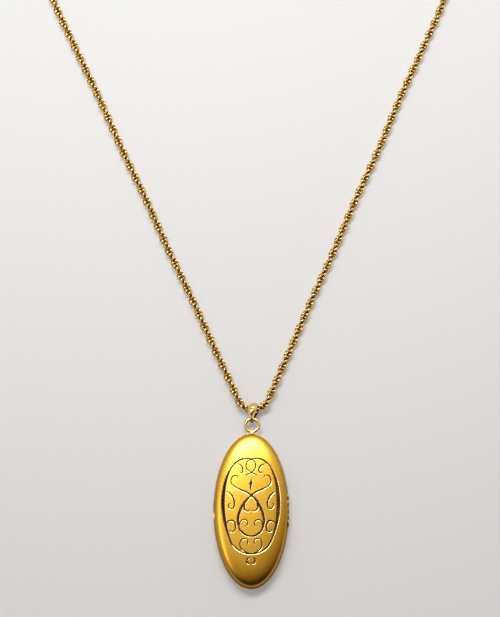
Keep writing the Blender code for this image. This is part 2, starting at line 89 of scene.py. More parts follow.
JOINTS = {j["name"]: j for j in frame["joints"]}
BAIL_PIVOT = Vector(JOINTS["bail_swing"]["pos_m"]) / MM
EYE_PIVOT = Vector(JOINTS["locket_swing"]["pos_m"]) / MM
HINGE = Vector(JOINTS["cover_hinge"]["pos_m"]) / MM
CLASP = Vector(JOINTS["clasp_trigger_slide"]["pos_m"]) / MM
RING_X = EYE_PIVOT.x
RING_Z = EYE_PIVOT.z


# ---------------------------------------------------------------- camera
def make_camera():
    """Almost overhead, a little from the foot of the locket."""
    elevation = math.radians(75)
    distance = 0.55
    target = Vector((-0.28, 53.2, 0.0)) * MM
    away = Vector((0, -math.cos(elevation), math.sin(elevation)))
    data = bpy.data.cameras.new("camera")
    data.sensor_fit = "HORIZONTAL"
    data.sensor_width = 36
    data.lens = 152.9
    data.clip_start = 0.01
    data.clip_end = 20
    camera = bpy.data.objects.new("camera", data)
    bpy.context.scene.collection.objects.link(camera)
    camera.location = target + away * distance
    camera.rotation_euler = (math.radians(90) - elevation, 0, 0)
    bpy.context.scene.camera = camera


# ---------------------------------------------------------------- mesh helpers
def mesh_object(name, points, faces, looks, smooth_angle=40, turn_out=False):
    """A piece from points in millimetres."""
    mesh = bpy.data.meshes.new(name)
    mesh.from_pydata((np.asarray(points, float) * MM).tolist(), [], faces)
    if turn_out:
        shell = bmesh.new()
        shell.from_mesh(mesh)
        bmesh.ops.recalc_face_normals(shell, faces=shell.faces)
        shell.to_mesh(mesh)
        shell.free()
    mesh.shade_smooth()
    mesh.set_sharp_from_angle(angle=math.radians(smooth_angle))
    for look in looks:
        mesh.materials.append(look)
    obj = bpy.data.objects.new(name, mesh)
    bpy.context.scene.collection.objects.link(obj)
    return obj


def loft(rings, around=False):
    """Points and faces of a closed surface through rings of equally many points."""
    count = len(rings[0])
    points = [tuple(p) for ring in rings for p in ring]
    faces = []
    for i in range(len(rings) if around else len(rings) - 1):
        low = i * count
        high = (i + 1) % len(rings) * count
        for j in range(count):
            k = (j + 1) % count
            faces.append((low + j, low + k, high + k, high + j))
    if not around:
        faces.append(tuple(reversed(range(count))))
        faces.append(tuple(range((len(rings) - 1) * count, len(rings) * count)))
    return points, faces


def catmull(points, per_span):
    """Points along a centripetal Catmull-Rom curve through the given ones."""
    knots = [Vector(p).to_3d() for p in points]
    knots = [2 * knots[0] - knots[1], *knots, 2 * knots[-1] - knots[-2]]
    fine = []
    for a, b, c, d in zip(knots, knots[1:], knots[2:], knots[3:]):
        ab, bc, cd = (max((q - p).length, 1e-6) ** 0.5 for p, q in ((a, b), (b, c), (c, d)))
        leave = bc * ((b - a) / ab - (c - a) / (ab + bc)) + (c - b)
        arrive = bc * ((d - c) / cd - (d - b) / (bc + cd)) + (c - b)
        for i in range(per_span):
            t = i / per_span
            fine.append(
                (2 * t**3 - 3 * t**2 + 1) * b
                + (t**3 - 2 * t**2 + t) * leave
                + (3 * t**2 - 2 * t**3) * c
                + (t**3 - t**2) * arrive
            )
    fine.append(knots[-2])
    return fine


def fit_out(obj, body, slot, *nodes):
    """The piece stands for the nodes and moves with the body; the slot is not used."""
    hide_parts(*nodes)
    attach(obj, body)
    return obj


# ---------------------------------------------------------------- the oval
HINGE_REACH = 4.23  # half the length of the recess that the hinge lies in
RECESS_R = 0.36
NICK_HALF = 1.6
NICK_HEIGHT = 0.16
OVAL_STEPS = 240


def oval_turns():
    """Angles round the oval, with two close together at each end of the hinge's recess."""
    turns = [math.tau * i / OVAL_STEPS for i in range(OVAL_STEPS)]
    for side in (1, -1):
        for y in (HINGE_REACH - 0.01, HINGE_REACH + 0.01):
            turns.append(math.asin(side * y / (BODY_B - 0.3)) % math.tau)
    return np.array(sorted(turns))


TURNS = oval_turns()


def half_sizes(inset):
    return BODY_A - inset, BODY_B - inset * (1 + END_SPREAD * inset / BODY_A)


def oval(inset, height):
    a, b = half_sizes(inset)
    return np.stack([a * np.cos(TURNS), b * np.sin(TURNS), np.full(len(TURNS), height)], 1)


def cut_recess(points):
    """Press the hinge's round recess into whatever lies within it."""
    near = (np.abs(points[:, 1]) < HINGE_REACH) & (points[:, 0] > 0)
    out = points[:, [0, 2]] - (HINGE.x, HINGE.z)
    reach = np.linalg.norm(out, axis=1)
    inside = near & (reach < RECESS_R)
    scale = RECESS_R / np.maximum(reach[inside], 0.01)
    points[inside, 0] = HINGE.x + out[inside, 0] * scale
    points[inside, 2] = HINGE.z + out[inside, 1] * scale


def seat_hinge(points):
    """Lay the stretch of the back's rim that the recess takes away along the recess's floor."""
    rows = points.reshape(-1, len(TURNS), 3)
    for column in rows.transpose(1, 0, 2):
        out = column[:, [0, 2]] - (HINGE.x, HINGE.z)
        taken = np.flatnonzero(np.linalg.norm(out, axis=1) < RECESS_R)
        if abs(column[0, 1]) > HINGE_REACH or not len(taken):
            continue
        start = math.asin(out[taken[0], 0] / RECESS_R)
        turn = np.linspace(start, -math.acos((HINGE.z - RIM_TOP) / RECESS_R), len(taken))
        column[taken, 0] = HINGE.x + RECESS_R * np.sin(turn)
        column[taken, 2] = HINGE.z - RECESS_R * np.cos(turn)


def rounded(profile, closed=False, radius=0.03):
    """The profile with each corner turned into a small round."""
    out = []
    count = len(profile)
    for i, p in enumerate(profile):
        if not closed and i in (0, count - 1):
            out.append(p)
            continue
        before = np.subtract(profile[i - 1], p)
        after = np.subtract(profile[(i + 1) % count], p)
        step_in = min(radius, 0.4 * np.linalg.norm(before))
        step_out = min(radius, 0.4 * np.linalg.norm(after))
        start = np.add(p, before / np.linalg.norm(before) * step_in)
        end = np.add(p, after / np.linalg.norm(after) * step_out)
        for t in (0.0, 0.5, 1.0):
            out.append(tuple((1 - t) ** 2 * start + 2 * t * (1 - t) * np.array(p) + t**2 * end))
    return out


def oval_piece(name, profile, looks, around=False, shape=None):
    points, faces = loft([oval(*step) for step in profile], around)
    points = np.array(points)
    if shape:
        shape(points)
    return mesh_object(name, points, faces, looks, turn_out=True)


# ---------------------------------------------------------------- the engraved cover
FACE_CURVE = (
    (0.25, 2.9),
    (0.36, 3.34),
    (0.7, 3.73),
    (1.3, 4.05),
    (2.2, 4.34),
    (3.4, 4.59),
    (5.0, 4.8),
    (6.8, 4.93),
    (8.6, 4.99),
    (9.49, 4.995),
)
FACE_INSIDE = (
    (0.65, 2.9),
    (0.72, 3.16),
    (0.95, 3.42),
    (1.46, 3.68),
    (2.3, 3.95),
    (3.5, 4.2),
    (5.0, 4.4),
    (6.8, 4.53),
    (8.6, 4.59),
)
FACE_JOIN = 1.3  # inset where the turned edge meets the engraved middle
DENSE = np.array([(p.x, p.y) for p in catmull(FACE_CURVE, 12)])
SLOPE = np.gradient(DENSE[:, 1], np.maximum.accumulate(DENSE[:, 0] + 1e-9 * np.arange(len(DENSE))))


def inset_at(x, y):
    """How far each point of the face lies in from the rim."""
    low = np.zeros(len(x))
    high = np.full(len(x), BODY_A - 0.01)
    for _ in range(40):
        middle = (low + high) / 2
        a, b = half_sizes(middle)
        outside = (x / a) ** 2 + (y / b) ** 2 > 1
        high = np.where(outside, middle, high)
        low = np.where(outside, low, middle)
    return (low + high) / 2


def dome(x, y):
    """Height and normal of the plain face."""
    inset = inset_at(x, y)
    a, b = half_sizes(inset)
    z = np.interp(inset, DENSE[:, 0], DENSE[:, 1])
    slope = np.interp(inset, DENSE[:, 0], SLOPE)
    gx, gy = 2 * x / a**2, 2 * y / b**2
    fall = 2 * x**2 / a**3 + 2 * y**2 / b**3 * (1 + 2 * END_SPREAD * inset / BODY_A)
    fall = np.maximum(fall, 1e-6)
    normal = np.stack([slope * gx / fall, slope * gy / fall, np.ones(len(x))], 1)
    return z, normal / np.linalg.norm(normal, axis=1, keepdims=True)


HAIR = 0.2  # half width of the thinnest cut
# Each stroke: where it runs, how much it swells, where along it the swelling is greatest, and
# whether it is mirrored. Scrolls and tendrils, after old lyre ornament.
STROKES = (
    (
        (
            (-1.7, 8.3), (-0.9, 8.75), (0.2, 9.3), (1.15, 10.3), (1.05, 11.7), (-0.3, 12.65),
            (-2.5, 12.6), (-4.5, 11.1), (-5.9, 8.5), (-6.7, 5.2), (-6.95, 1.4), (-6.6, -2.6),
            (-5.7, -6.4), (-4.2, -9.4), (-2.1, -11.0), (0.3, -11.35), (2.1, -10.4),
            (2.75, -8.9), (2.2, -7.7), (1.1, -7.75), (0.8, -8.6), (1.3, -9.2),
        ),
        0.38, 0.46, True,
    ),
    (
        (
            (-3.2, 7.6), (-3.5, 8.4), (-4.5, 8.3), (-5.05, 7.1), (-4.4, 5.8), (-2.8, 4.95),
            (-0.9, 4.0), (0.95, 2.4), (2.5, 0.1), (3.25, -2.7), (2.75, -5.3), (1.0, -6.8),
            (-1.2, -6.75), (-2.7, -5.5), (-2.9, -3.8), (-2.0, -2.75), (-0.95, -3.2),
            (-1.0, -4.2), (-1.7, -4.4),
        ),
        0.26, 0.45, True,
    ),
    (
        (
            (-6.4, 4.6), (-5.5, 4.0), (-4.6, 2.9), (-4.1, 1.4), (-4.5, 0.1), (-5.4, 0.2),
            (-5.6, 1.2), (-5.0, 1.5),
        ),
        0.14, 0.36, True,
    ),
    (
        (
            (-6.3, -3.9), (-5.5, -3.1), (-4.5, -3.1), (-3.9, -4.2), (-4.2, -5.6), (-5.05, -5.7),
            (-5.2, -4.9),
        ),
        0.13, 0.4, True,
    ),
    (((-3.6, 11.7), (-2.6, 11.1), (-2.0, 10.0), (-2.4, 9.1), (-3.2, 9.5)), 0.1, 0.4, True),
    (((-1.05, 2.3), (-1.65, 1.1), (-1.5, -0.2), (-0.6, -0.7), (-0.15, 0.1)), 0.13, 0.45, True),
    (((0.0, 7.9), (0.08, 6.9), (-0.06, 5.7), (0.0, 4.5)), 0.3, 0.45, False),
    (((0.0, -12.1), (-0.8, -12.6), (-1.0, -13.3), (-0.5, -13.8), (0.0, -13.4)), 0.14, 0.5, True),
)
CUT_DEPTH = 0.1
HATCH_FROM = 0.27  # half width above which a stroke is hatched
HATCH_STEP = 0.36
# LIGHT_SIDE points towards the light: the wall of each cut on this side faces away from it and is
# painted in shade, and the far wall gets a painted highlight.
LIGHT_SIDE = np.array((-0.55, 0.83))  # each cut is steep on this side and shallow on the other
KEEL = -0.22


def stroke_lines():
    """For each stroke: places along it, sideways direction there, half width, and distance."""
    lines = []
    wobble = np.random.default_rng(7)
    for knots, swell, peak, both in STROKES:
        for side in (1, -1) if both else (1,):
            shake = wobble.normal(0, 0.035, (len(knots), 2))
            moved = np.array(knots) * (side, 1) + shake
            line = np.array([(p.x, p.y) for p in catmull([(*p, 0.0) for p in moved], 24)])
            walked = np.concatenate([[0], np.cumsum(np.linalg.norm(np.diff(line, axis=0), axis=1))])
            total = walked[-1]
            count = int(total / 0.1)
            at = np.linspace(0, total, count)
            places = np.stack([np.interp(at, walked, line[:, k]) for k in (0, 1)], 1)
            ahead = np.gradient(places, axis=0)
            ahead /= np.linalg.norm(ahead, axis=1, keepdims=True)
            sideways = np.stack([-ahead[:, 1], ahead[:, 0]], 1)
            t = at / total
            bell = np.exp(-(((t - peak) / 0.2) ** 2))
            ends = np.clip(np.minimum(t, 1 - t) * total / 0.8, 0.3, 1.0)
            keel = KEEL * sideways @ LIGHT_SIDE  # the deepest line, as a share of the half width
            lines.append((places, sideways, (HAIR + swell * bell) * ends, at, keel))
    return lines


def carve(points, lines):
    """How deep the cuts are at each point of the face, and the painted shade there, as (depth, painted
    shade: 1 for full shade, 0 for the painted highlight).
    """
    depth = np.zeros(len(points))
    shade = np.zeros(len(points))
    for places, sideways, half, at, keel in lines:
        tree = KDTree(len(places))
        for i, place in enumerate(places):
            tree.insert((*place, 0.0), i)
        tree.balance()
        reach = half.max() + 0.05
        low, high = places.min(0) - reach, places.max(0) + reach
        near = np.flatnonzero(((points > low) & (points < high)).all(1))
        for v in near:
            _, i, _ = tree.find((*points[v], 0.0))
            offset = points[v] - places[i]
            across = float(offset @ sideways[i])
            ahead = np.array([sideways[i][1], -sideways[i][0]])
            along = float(offset @ ahead)
            width = half[i]
            if abs(across) > width + 0.003 or abs(along) > 0.12:
                continue
            middle = keel[i] * width
            # The wall on the light's side of the keel faces away from the light and gets full painted
            # shade, its edge too; the other wall runs from a painted highlight at its edge to painted
            # shade at the keel.
            steep = (across > middle - 1e-4) == (sideways[i] @ LIGHT_SIDE > 0)
            if abs(across) >= width - 1e-4:
                if steep and depth[v] == 0:
                    shade[v] = 1.0
                continue
            room = width - middle if across > middle else width + middle
            side = width - across if across > middle else width + across
            share = min(1.0, side / min(room, 0.24))
            cut = CUT_DEPTH * share * min(1.0, 0.55 + width)
            cut *= min(1.0, min(at[i], at[-1] - at[i]) / 0.25)
            dark = 1.0 if steep else share
            if width > HATCH_FROM and abs(across) < width - 0.08:
                phase = (at[i] + along + 0.9 * across) / HATCH_STEP % 1.0
                ridge = abs(2 * phase - 1)
                fade = min(1.0, (width - HATCH_FROM) / 0.06)
                cut -= fade * 0.07 * ridge
                # a painted sheen along the hatch ridges
                dark -= fade * 0.32 * ridge**2
            if cut > depth[v]:
                depth[v] = cut
                shade[v] = max(dark, 0.0)
    return depth, shade


def make_cover(looks):
    """The domed cover, turned inside and out, with the ornament cut into its face."""
    lines = stroke_lines()
    ring = oval(FACE_JOIN, 0)[:, :2]
    flat = [ring]
    edges = [(i, (i + 1) % len(ring)) for i in range(len(ring))]
    count = len(ring)
    for inset in np.concatenate([np.arange(1.6, 4.0, 0.4), np.arange(4.3, 9.2, 0.6)]):
        a, b = half_sizes(inset)
        steps = max(16, int(math.tau * math.sqrt((a * a + b * b) / 2) / 0.55))
        turns = math.tau * (np.arange(steps) + 0.5 * (steps % 2)) / steps
        extra = np.stack([a * np.cos(turns), b * np.sin(turns)], 1)
        flat.append(extra)
        count += steps
    for places, sideways, half, _, keel in lines:
        n = len(places)
        for end in (0, n - 1):  # close each stroke at its ends
            edges += [(count + end, count + n + end), (count + n + end, count + 2 * n + end)]
        wide = half > HATCH_FROM - 0.02
        for share in (-np.ones(len(half)), keel, np.ones(len(half))):
            flat.append(places + sideways * (share * half)[:, None])
            edges += [(count + i, count + i + 1) for i in range(len(places) - 1)]
            count += len(places)
        for share in (-0.75, -0.5, -0.25, 0.25, 0.5, 0.75):
            extra = (places + share * sideways * half[:, None])[wide]
            flat.append(extra)
            count += len(extra)
        closer = (places[:-1] + places[1:])[wide[1:]] / 2
        for share in (-0.62, -0.37, -0.12, 0.12, 0.37, 0.62):
            extra = closer + share * (sideways * half[:, None])[1:][wide[1:]]
            flat.append(extra)
            count += len(extra)
    flat = np.concatenate(flat)
    verts, _, triangles, origins, _, _ = delaunay_2d_cdt(
        [Vector(p) for p in flat], edges, [], 0, 1e-5
    )
    verts = np.array([tuple(v) for v in verts])
    depth, shade = carve(verts, lines)
    z, normal = dome(verts[:, 0], verts[:, 1])
    face_points = np.stack([verts[:, 0], verts[:, 1], z - depth], 1)
    on_ring = {}
    for index, source in enumerate(origins):
        for o in source:
            if o < len(ring):
                on_ring[o] = index
    side = [p for p in DENSE if p[0] < FACE_JOIN - 0.02]
    profile = [(8.6, 4.59)] + [(p.x, p.y) for p in reversed(catmull(FACE_INSIDE, 5))][1:]
    profile += [(0.65, COVER_SEAM + 0.03), (0.62, COVER_SEAM), (0.29, COVER_SEAM)]
    profile += [(0.25, COVER_SEAM + 0.04)]
    profile += [(0.25, z) for z in (2.55, 2.62, 2.7, 2.78, 2.84)]
    profile += [tuple(p) for p in side]
    shell = np.concatenate([oval(*step) for step in profile])
    cut_recess(shell)
    start = len(shell)
    n = len(TURNS)
    points = np.concatenate([shell, face_points])
    faces = []
    for i in range(len(profile) - 1):
        for j in range(n):
            k = (j + 1) % n
            faces.append((i * n + j, i * n + k, (i + 1) * n + k, (i + 1) * n + j))
    last = (len(profile) - 1) * n
    for j in range(n):
        k = (j + 1) % n
        faces.append((last + j, last + k, start + on_ring[k], start + on_ring[j]))
    faces.append(tuple(range(n)))
    turned = len(faces)
    for tri in triangles:
        a, b, c = (verts[i] for i in tri)
        up = (b[0] - a[0]) * (c[1] - a[1]) - (b[1] - a[1]) * (c[0] - a[0]) > 0
        faces.append(tuple(start + i for i in (tri if up else reversed(tri))))
    cover = mesh_object("front_cover_engraved", points, faces, looks, 35)
    mesh = cover.data
    # the cut attribute carries the painted shade and painted highlight of the cut walls to the groove
    # material
    cut = np.zeros(len(points), np.float32)
    cut[start:] = shade
    mesh.attributes.new("cut", "FLOAT", "POINT").data.foreach_set("value", cut)
    in_cut = np.zeros(len(faces), bool)
    in_cut[turned:] = [max(depth[i] for i in tri) > 0.004 for tri in triangles]
    mesh.polygons.foreach_set("material_index", in_cut.astype(np.int32))
    set_normals(mesh, points, in_cut, turned, start, normal)
    return fit_out(cover, "cover", "satin_gold", "front_cover")


def set_normals(mesh, points, in_cut, turned, start, normal):
    """The plain face keeps the dome's own normals right up to each cut."""
    loops = np.zeros((len(mesh.loops), 3), np.float32)
    mesh.corner_normals.foreach_get("vector", loops.reshape(-1))
    vertex = np.zeros(len(mesh.loops), np.int32)
    mesh.loops.foreach_get("vertex_index", vertex)
    face = np.repeat(
        np.arange(len(mesh.polygons)), [p.loop_total for p in mesh.polygons]
    )
    plain = (face >= turned) & ~in_cut[face]
    loops[plain] = normal[vertex[plain] - start]
    mesh.normals_split_custom_set(loops.tolist())


def make_back(look):
    """The back shell, with its standing rim, the hinge's recess and the nail nick."""
    outside = catmull(((3.3, 0.0), (2.5, 0.09), (1.6, 0.33), (0.9, 0.74), (0.42, 1.3), (0.25, 1.98)), 6)
    profile = [(p.x, max(p.y, 0.0)) for p in outside]
    profile += [(0.25, 2.02), (0.07, 2.02), (0.02, 2.04), (0.0, 2.09), (0.0, 2.2), (0.0, 2.33)]
    profile += [(0.02, 2.38), (0.06, 2.4), (0.12, 2.4), (0.18, 2.4), (0.24, 2.4), (0.32, 2.4)]
    profile += [(0.4, 2.4), (0.48, 2.4), (0.62, 2.4), (0.65, 2.37)]
    inside = catmull(((0.65, 1.75), (0.85, 1.4), (1.3, 0.98), (1.95, 0.66), (2.7, 0.47), (3.4, 0.4)), 5)
    profile += [(0.65, 2.1)] + [(p.x, p.y) for p in inside]

    def shape(points):
        seat_hinge(points)
        nick = (points[:, 0] < 0) & (np.abs(points[:, 1]) < NICK_HALF)
        nick &= (points[:, 0] / (BODY_A - 0.25)) ** 2 + (points[:, 1] / (BODY_B - 0.25)) ** 2 > 0.998
        drop = NICK_HEIGHT * np.sqrt(1 - (points[nick, 1] / NICK_HALF) ** 2)
        points[nick, 2] = np.minimum(points[nick, 2], RIM_TOP - drop)

    back = oval_piece("back_cover_shell", profile, [look], shape=shape)
    return fit_out(back, "locket_back", "satin_gold", "back_cover")


def make_inside(looks):
    snap = ((0.71, 1.82), (0.71, 2.74), (0.81, 2.86), (0.99, 2.86), (0.99, 1.82))
    rim = oval_piece("snap_rim_band", rounded(snap, True), [looks["inner"]], True)
    fit_out(rim, "locket_back", "inner_gold", "snap_rim")
    back = (
        (1.1, 1.3), (1.1, 2.12), (1.2, 2.2), (1.7, 2.2), (1.8, 2.17), (2.25, 2.17), (2.35, 2.0),
        (1.35, 2.0), (1.35, 1.3),
    )
    frame = oval_piece("back_frame_band", rounded(back, True), [looks["inner"]], True)
    fit_out(frame, "locket_back", "inner_gold", "back_photo_frame")
    front = (
        (1.08, 3.4), (1.08, 3.0), (1.18, 2.92), (1.7, 2.92), (1.8, 2.95), (2.25, 2.95),
        (2.35, 3.12), (1.33, 3.12), (1.33, 3.4),
    )
    frame = oval_piece("cover_frame_band", rounded(front, True), [looks["inner"]], True)
    fit_out(frame, "cover", "inner_gold", "front_photo_frame")
    for name, low, high, look, body, slot in (
        ("back_window", 1.72, 1.94, "clear", "locket_back", "clear_sheet"),
        ("back_photo_card", 1.5, 1.66, "card", "locket_back", "photo_paper"),
        ("front_window", 3.18, 3.4, "clear", "cover", "clear_sheet"),
        ("front_photo_card", 3.46, 3.62, "card", "cover", "photo_paper"),
    ):
        profile = rounded(((3.0, low), (1.5, low), (1.5, high), (3.0, high)))
        sheet = oval_piece(name + "_sheet", profile, [looks[look]])
        fit_out(sheet, body, slot, name)


# ---------------------------------------------------------------- hinge, ring, bail
def turned_rod(start, outline, sides=32):
    """Rings of a turned piece along +Y: the outline is (distance, radius) from end to end."""
    turns = math.tau * np.arange(sides) / sides
    rings = []
    for far, radius in outline:
        around = [radius * np.cos(turns), np.full(sides, far), radius * np.sin(turns)]
        rings.append(np.array(start) + np.stack(around, 1))
    return rings


KNUCKLE_R = 0.25
BORE_R = 0.15
PIN_R = 0.11
HINGE_HALF = 4.15


def make_hinge(looks):
    share = 2 * HINGE_HALF / 5
    gap = 0.04
    edge = 0.04
    for i in range(5):
        owner = "cover" if i % 2 else "back"
        low = -HINGE_HALF + share * i + gap
        length = share - 2 * gap
        outline = (
            (0.0, BORE_R), (0.0, KNUCKLE_R - edge), (edge * 0.3, KNUCKLE_R - 0.3 * edge),
            (edge, KNUCKLE_R), (length - edge, KNUCKLE_R),
            (length - edge * 0.3, KNUCKLE_R - 0.3 * edge), (length, KNUCKLE_R - edge),
            (length, BORE_R),
        )
        rings = turned_rod((HINGE.x, low, HINGE.z), outline)
        node_name = f"hinge_knuckle_{i + 1}_{owner}"
        knuckle = mesh_object(
            node_name + "_barrel", *loft(rings, True), [looks["back"]], turn_out=True
        )
        body = "cover" if i % 2 else "locket_back"
        fit_out(knuckle, body, "satin_gold", node_name)
    outline = (
        (0.0, 0.06), (0.02, 0.095), (0.06, PIN_R), (2 * HINGE_HALF - 0.06, PIN_R),
        (2 * HINGE_HALF - 0.02, 0.095), (2 * HINGE_HALF, 0.06),
    )
    rings = turned_rod((HINGE.x, -HINGE_HALF, HINGE.z), outline)
    pin = mesh_object("hinge_pin_rod", *loft(rings), [looks["pin"]], turn_out=True)
    fit_out(pin, "locket_back", "pin_gold", "hinge_pin")


def wire_ring(name, centre, radius, wire, right, up, looks, steps=96, sides=24):
    right, up, centre = Vector(right), Vector(up), Vector(centre)
    normal = right.cross(up)
    rings = []
    for i in range(steps):
        turn = math.tau * i / steps
        out = math.cos(turn) * right + math.sin(turn) * up
        rings.append(
            [
                centre + radius * out + wire * (math.cos(t) * out + math.sin(t) * normal)
                for t in (math.tau * j / sides for j in range(sides))
            ]
        )
    return mesh_object(name, *loft(rings, True), looks, turn_out=True)


def make_ring(looks):
    centre = (RING_X, EYE_PIVOT.y - 1.675, RING_Z)
    ring = wire_ring(
        "suspension_ring_wire", centre, 1.675, 0.375, (1, 0, 0), (0, 1, 0), [looks["ring"]]
    )
    fit_out(ring, "locket_back", "bright_gold", "suspension_ring")
    place = np.array((RING_X, BODY_B + 0.1, RING_Z - 0.12))
    shaky = np.random.default_rng(3)
    rings = []
    for i in range(1, 20):
        polar = math.pi * i / 20
        turns = math.tau * np.arange(32) / 32
        swell = 1 + 0.04 * np.sin(3 * turns + i) * math.sin(polar)
        rings.append(
            place
            + np.stack(
                [
                    0.93 * math.sin(polar) * np.cos(turns) * swell,
                    0.6 * math.sin(polar) * np.sin(turns) * swell,
                    np.full(32, 0.58 * math.cos(polar)),
                ],
                1,
            )
            + shaky.normal(0, 0.004, (32, 3))
        )
    seat = mesh_object("ring_solder", *loft(rings), [looks["solder"]], turn_out=True)
    fit_out(seat, "locket_back", "solder_gold", "ring_solder_seat")


BAIL_WALL = 0.42
BAIL_TOP_BORE = 1.45
BAIL_EYE_BORE = 0.6
BAIL_YAW = math.radians(8)


def make_bail(look):
    """A domed band round two circles, one about the chain and one about the ring."""
    top, eye = BAIL_PIVOT, EYE_PIVOT
    down = Vector((0, eye.y - top.y, eye.z - top.z))
    apart = down.length
    down.normalize()
    out = Vector((0, down.z, -down.y))
    top_r = BAIL_TOP_BORE + BAIL_WALL / 2
    eye_r = BAIL_EYE_BORE + BAIL_WALL / 2
    lean = math.asin((top_r - eye_r) / apart)
    wrap = math.pi / 2 + lean
    path = []
    for i in range(49):
        turn = -wrap + 2 * wrap * i / 48
        normal = -down * math.cos(turn) + out * math.sin(turn)
        path.append((top + top_r * normal, normal))
    for i in range(1, 12):
        middle = (top + top_r * normal).lerp(eye + eye_r * normal, i / 12)
        path.append((middle, normal))
    for i in range(33):
        turn = (math.pi - wrap) * (1 - i / 16)
        normal = down * math.cos(turn) + out * math.sin(turn)
        path.append((eye + eye_r * normal, normal))
    for i in range(1, 12):
        middle = (eye + eye_r * normal).lerp(top + top_r * normal, i / 12)
        path.append((middle, normal))
    crowned = [math.cos(math.pi * i / 16) for i in range(17)]
    rings = []
    for place, normal in path:
        share = (place - top).dot(down) / apart
        if share < 0:
            half = 1.18 * math.sqrt(1 - 0.55 * min(1.0, share / -0.77) ** 2)
        else:
            ease = min(1.0, share / 1.05)
            half = 1.18 - 0.68 * ease * ease * (3 - 2 * ease)
        puffed = 0.5 * math.sin(math.pi * min(1.0, max(0.0, share / 1.05))) * (normal.dot(out) > 0.9)
        middle_x = top.x + (eye.x - top.x) * share
        section = [(x, BAIL_WALL * (0.5 - 0.85 * x * x) + puffed * (1 - 0.6 * x * x)) for x in crowned]
        section += [(-x, BAIL_WALL * (-0.5 - 0.35 * x * x)) for x in (0.96, 0.5, 0.0, -0.5, -0.96)]
        ring = []
        for across, lift in section:
            p = place + normal * lift
            ring.append((middle_x + across * half - math.tan(BAIL_YAW) * (p.z - top.z), p.y, p.z))
        rings.append(ring)
    bail = mesh_object("bail_band", *loft(rings, True), [look], 50, turn_out=True)
    fit_out(bail, "bail", "bright_gold", "bail")


# ---------------------------------------------------------------- clasp
CLASP_R = 2.5
CLASP_TUBE_R = 0.5
LOOP_R = 0.75
LOOP_WIRE_R = 0.25
JUMP_X = -4.9
TAG_X, TAG_Z = 2.9, 1.56
FLAT = ((1, 0, 0), (0, 1, 0))
UPRIGHT = ((1, 0, 0), (0, 0, 1))


def arc_rod(name, start, end, outline, look, steps=72, sides=24):
    """A rod bent along the clasp's circle; the outline gives (millimetres from an end, radius)."""
    length = math.radians(end - start) * CLASP_R
    far = sorted(
        {d for d, _ in outline}
        | {length - d for d, _ in outline}
        | set(np.linspace(outline[-1][0], length - outline[-1][0], steps).tolist())
    )
    rings = []
    for d in far:
        radius = float(
            np.interp(min(d, length - d), [o[0] for o in outline], [o[1] for o in outline])
        )
        turn = math.radians(start) + d / CLASP_R
        out = Vector((math.cos(turn), math.sin(turn), 0))
        centre = CLASP + CLASP_R * out
        rings.append(
            [
                centre + radius * (math.cos(t) * out + math.sin(t) * Vector((0, 0, 1)))
                for t in (math.tau * i / sides for i in range(sides))
            ]
        )
    return mesh_object(name, *loft(rings), [look], turn_out=True)


def cut_and_join(obj, cutters, joined):
    """Bake the cuts and joins into the piece, and drop the tools."""
    for tool, operation in [(c, "DIFFERENCE") for c in cutters] + [(j, "UNION") for j in joined]:
        boolean = obj.modifiers.new("tool", "BOOLEAN")
        boolean.operation = operation
        boolean.object = tool
    bpy.context.view_layer.update()
    baked = bpy.data.meshes.new_from_object(obj.evaluated_get(bpy.context.evaluated_depsgraph_get()))
    obj.modifiers.clear()
    obj.data = baked
    baked.set_sharp_from_angle(angle=math.radians(35))
    for tool in cutters + joined:
        bpy.data.objects.remove(tool)
    return obj


def straight_rod(name, start, end, radius, look, sides=24, edge=0.04):
    start, end = Vector(start), Vector(end)
    along = (end - start).normalized()
    across = along.orthogonal().normalized()
    up = along.cross(across)
    length = (end - start).length
    rings = []
    for far, r in (
        (0, radius - edge), (edge * 0.3, radius - edge * 0.3), (edge, radius),
        (length - edge, radius), (length - edge * 0.3, radius - edge * 0.3), (length, radius - edge),
    ):
        rings.append(
            [
                start + along * far + r * (math.cos(t) * across + math.sin(t) * up)
                for t in (math.tau * i / sides for i in range(sides))
            ]
        )
    return mesh_object(name, *loft(rings), [look], turn_out=True)


def make_end_cap(name, cap_x, loop_x, looks):
    towards = 1 if loop_x > cap_x else -1
    outline = (
        (0.0, 0.45), (0.05, 0.7), (0.25, 0.93), (0.6, 1.06), (0.95, 1.08), (1.0, 1.13), (1.15, 1.15),
        (1.3, 1.13), (1.35, 1.07), (2.2, 1.07), (2.25, 1.13), (2.35, 1.15), (2.9, 1.15),
        (2.97, 1.13), (3.0, 1.06), (3.0, 0.98), (2.9, 0.96), (2.9, 0.5),
    )
    rings = []
    for far, radius in outline:
        turns = math.tau * np.arange(48) / 48
        around = [np.full(48, -towards * far), radius * np.cos(turns), radius * np.sin(turns)]
        rings.append(np.array((cap_x, CLASP.y, CLASP.z)) + np.stack(around, 1))
    cap = mesh_object(name + "_turned", *loft(rings), [looks["bright"]], turn_out=True)
    centre = (loop_x, CLASP.y, CLASP.z)
    loop = wire_ring("loop", centre, LOOP_R, LOOP_WIRE_R, *FLAT, [looks["bright"]], 64, 16)
    cut_and_join(cap, [], [loop])
    fit_out(cap, "necklace", "bright_gold", name)
    return cap


